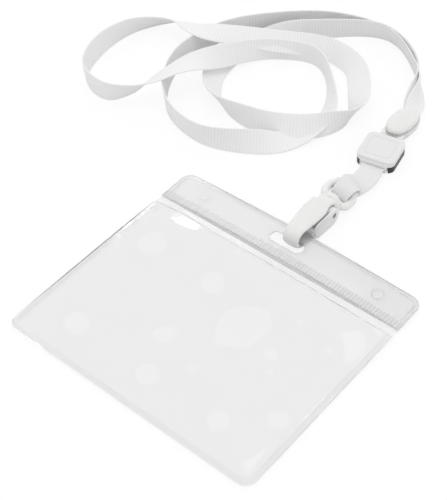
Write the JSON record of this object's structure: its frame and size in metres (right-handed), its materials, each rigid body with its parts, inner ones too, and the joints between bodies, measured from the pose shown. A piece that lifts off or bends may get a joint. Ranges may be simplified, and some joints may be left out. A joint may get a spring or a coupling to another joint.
{
  "type": "id badge wallet",
  "caption": "Clear vinyl badge wallet hung by its slot from a swivel hook on a ribbon neck lanyard with a release buckle and an oval crimp.",
  "frame": {"origin": "centre of the wallet's flat back face", "axes": "+X along the wallet's width, +Y up the wallet towards the lanyard, +Z out of the wallet's front, away from the surface it lies on"},
  "size_m": [0.1904, 0.2153, 0.0135],
  "materials": {
    "clear_vinyl": "clear, glossy, slightly wavy",
    "welded_vinyl": "clear to milky, glossy, embossed",
    "white_plastic": "moulded, satin to glossy",
    "black_plastic": "moulded, satin",
    "steel": "plain",
    "ribbon": "woven, fine ribs across the width",
    "thread": "twisted thread"
  },
  "bodies": {
    "lanyard": {"neck_strap": "ribbon", "crimp_front": "white_plastic", "crimp_back": "white_plastic", "strap_stub": "ribbon", "buckle_base": "black_plastic"},
    "tab": {"buckle_cover": "white_plastic", "tab_strap": "ribbon", "tab_stitches": "thread"},
    "swivel": {"swivel_eye": "white_plastic"},
    "hook": {"hook_body": "white_plastic", "gate_pin": "steel", "gate_spring": "steel"},
    "gate": {"hook_gate": "white_plastic"},
    "badge": {"back_panel": "clear_vinyl", "front_panel": "clear_vinyl", "edge_weld": "welded_vinyl", "header_strip": "welded_vinyl"}
  },
  "joints": [
    {"name": "buckle_release", "type": "slide", "parent": "lanyard", "child": "tab", "axis": [0.2079, -0.9781, 0], "range_m": [0, 0.015]},
    {"name": "tab_pivot", "type": "hinge", "parent": "tab", "child": "swivel", "pos_m": [0.0022, 0.0755, 0.0046], "axis": [0.9511, 0, -0.309], "range_deg": [-70, 70]},
    {"name": "hook_swivel", "type": "hinge", "parent": "swivel", "child": "hook", "pos_m": [0.0022, 0.0654, 0.0046], "axis": [0, 1, 0], "continuous": true},
    {"name": "gate_press", "type": "hinge", "parent": "hook", "child": "gate", "pos_m": [0.0022, 0.0603, 0.0047], "axis": [-1, 0, 0], "range_deg": [0, 22], "stiffness_Nm_per_rad": 0.05, "springref_deg": -11.46},
    {"name": "badge_swing", "type": "hinge", "parent": "hook", "child": "badge", "pos_m": [0.0022, 0.0468, 0.0046], "axis": [1, 0, 0], "range_deg": [-110, 110]}
  ]
}
